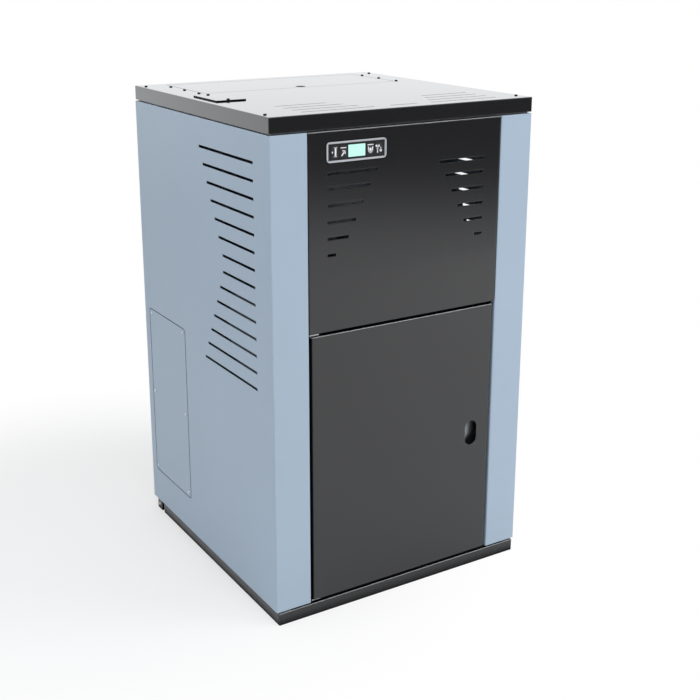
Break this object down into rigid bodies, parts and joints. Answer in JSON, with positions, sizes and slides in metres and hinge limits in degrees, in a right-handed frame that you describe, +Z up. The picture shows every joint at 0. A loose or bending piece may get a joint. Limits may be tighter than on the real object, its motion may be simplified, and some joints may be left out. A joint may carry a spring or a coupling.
{
  "type": "pellet boiler",
  "caption": "Free-standing pellet boiler in a slotted sheet-steel casing, with a hinged front door, a lidded hopper, an auger-fed firebox and a rear flue spigot.",
  "frame": {"origin": "on the floor, midway between the sides, and midway between the console's face and the end of the flue spigot", "axes": "+Z up, +X to the right of someone who faces the front, the front faces -Y"},
  "size_m": [0.7184, 0.79, 1.2052],
  "materials": {
    "blue_paint": "satin powder coat on steel sheet",
    "black_paint": "satin powder coat on steel sheet",
    "dark_steel": "matt black paint on steel",
    "zinc_sheet": "galvanised steel sheet",
    "bright_steel": "zinc-plated steel",
    "boiler_paint": "heat-proof grey paint on welded steel plate",
    "cast_iron": "sand-cast iron, matt",
    "mineral_wool": "faced mineral wool board",
    "vermiculite": "pressed vermiculite board",
    "console_plastic": "moulded plastic with a printed face",
    "display": "lit liquid-crystal window",
    "button_plastic": "satin moulded plastic",
    "circuit_board": "green solder resist",
    "gasket_rubber": "silicone rubber cord",
    "dark_plastic": "moulded plastic, fine grain",
    "stove_glass": "ceramic glass, smoke-tinted",
    "vessel_paint": "satin grey paint on pressed steel",
    "pump_paint": "green paint on cast iron",
    "copper": "drawn copper tube",
    "brass": "cast and turned brass",
    "red_plastic": "moulded plastic"
  },
  "bodies": {
    "root": {"base_rails": "black_paint", "base_plate": "dark_steel", "inner_frame": "zinc_sheet", "left_side_panel": "blue_paint", "right_side_panel": "blue_paint", "access_covers": "blue_paint", "panel_screws": "bright_steel", "front_panel": "black_paint", "rear_panel": "zinc_sheet", "top_cover": "black_paint", "cover_screws": "dark_steel", "service_plate": "black_paint", "console_bezel": "console_plastic", "display_window": "display", "console_board": "circuit_board", "hopper_collar": "zinc_sheet", "hopper": "zinc_sheet", "hopper_funnel": "zinc_sheet", "lid_gasket": "gasket_rubber", "auger_tube": "bright_steel", "auger_motor": "dark_steel", "feed_chute": "bright_steel", "boiler_body": "boiler_paint", "firebox_walls": "dark_steel", "smoke_walls": "dark_steel", "smoke_tubes": "dark_steel", "insulation_jacket": "mineral_wool", "firebox_lining": "vermiculite", "burner_pot": "cast_iron", "igniter": "bright_steel", "exchanger_cover": "boiler_paint", "fan_housing": "zinc_sheet", "flue_duct": "zinc_sheet", "fan_motor": "dark_steel", "air_intake_pipe": "zinc_sheet", "expansion_vessel": "vessel_paint", "circulation_pump": "pump_paint", "water_pipes": "copper", "safety_valve": "brass", "drain_cock": "brass", "control_unit": "dark_plastic", "power_inlet": "dark_plastic", "door_hinges": "bright_steel"},
    "front_door": {"front_door": "black_paint", "door_liner": "zinc_sheet"},
    "hopper_lid": {"hopper_lid": "black_paint"},
    "firebox_door": {"firebox_door": "cast_iron", "firebox_glass": "stove_glass"},
    "firebox_handle": {"firebox_handle": "bright_steel"},
    "ash_drawer": {"ash_drawer": "zinc_sheet"},
    "auger": {"auger_screw": "bright_steel"},
    "impeller": {"fan_impeller": "bright_steel"},
    "scraper": {"scraper_frame": "bright_steel", "turbulators": "bright_steel"},
    "button_1": {"button_1": "button_plastic"},
    "button_2": {"button_2": "button_plastic"},
    "button_3": {"button_3": "button_plastic"},
    "button_4": {"button_4": "button_plastic"},
    "drain_lever": {"drain_lever": "red_plastic"},
    "power_switch": {"power_switch": "red_plastic"}
  },
  "joints": [
    {"name": "front_door_hinge", "type": "hinge", "parent": "root", "child": "front_door", "pos_m": [-0.248, -0.382, 0.37], "axis": [0, 0, -1], "range_deg": [0, 105]},
    {"name": "hopper_lid_hinge", "type": "hinge", "parent": "root", "child": "hopper_lid", "pos_m": [0, 0.287, 1.193], "axis": [-1, 0, 0], "range_deg": [0, 80]},
    {"name": "firebox_door_hinge", "type": "hinge", "parent": "root", "child": "firebox_door", "pos_m": [-0.152, -0.341, 0.37], "axis": [0, 0, -1], "range_deg": [0, 95]},
    {"name": "firebox_handle_turn", "type": "hinge", "parent": "firebox_door", "child": "firebox_handle", "pos_m": [0.128, -0.341, 0.37], "axis": [0, -1, 0], "range_deg": [0, 90]},
    {"name": "ash_drawer_slide", "type": "slide", "parent": "root", "child": "ash_drawer", "axis": [0, -1, 0], "range_m": [0, 0.16]},
    {"name": "auger_spin", "type": "hinge", "parent": "root", "child": "auger", "pos_m": [0, 0, 0.662], "axis": [0, 1, 0], "continuous": true},
    {"name": "fan_spin", "type": "hinge", "parent": "root", "child": "impeller", "pos_m": [0, 0.101, 0.128], "axis": [0, 1, 0], "continuous": true},
    {"name": "scraper_lift", "type": "slide", "parent": "root", "child": "scraper", "axis": [0, 0, 1], "range_m": [0, 0.04]},
    {"name": "button_1_press", "type": "slide", "parent": "root", "child": "button_1", "axis": [0, 1, 0], "range_m": [0, 0.0008], "stiffness_N_per_m": 400},
    {"name": "button_2_press", "type": "slide", "parent": "root", "child": "button_2", "axis": [0, 1, 0], "range_m": [0, 0.0008], "stiffness_N_per_m": 400},
    {"name": "button_3_press", "type": "slide", "parent": "root", "child": "button_3", "axis": [0, 1, 0], "range_m": [0, 0.0008], "stiffness_N_per_m": 400},
    {"name": "button_4_press", "type": "slide", "parent": "root", "child": "button_4", "axis": [0, 1, 0], "range_m": [0, 0.0008], "stiffness_N_per_m": 400},
    {"name": "drain_lever_turn", "type": "hinge", "parent": "root", "child": "drain_lever", "pos_m": [0.234, -0.289, 0.09], "axis": [0, 0, -1], "range_deg": [0, 90]},
    {"name": "power_switch_rock", "type": "hinge", "parent": "root", "child": "power_switch", "pos_m": [0.267, 0.342, 0.314], "axis": [1, 0, 0], "range_deg": [0, 16]}
  ],
  "couplings": [
    {"joint": "firebox_door_hinge", "follows": "front_door_hinge", "ratio": 0.9},
    {"joint": "ash_drawer_slide", "follows": "front_door_hinge", "m_per_rad": 0.085}
  ]
}
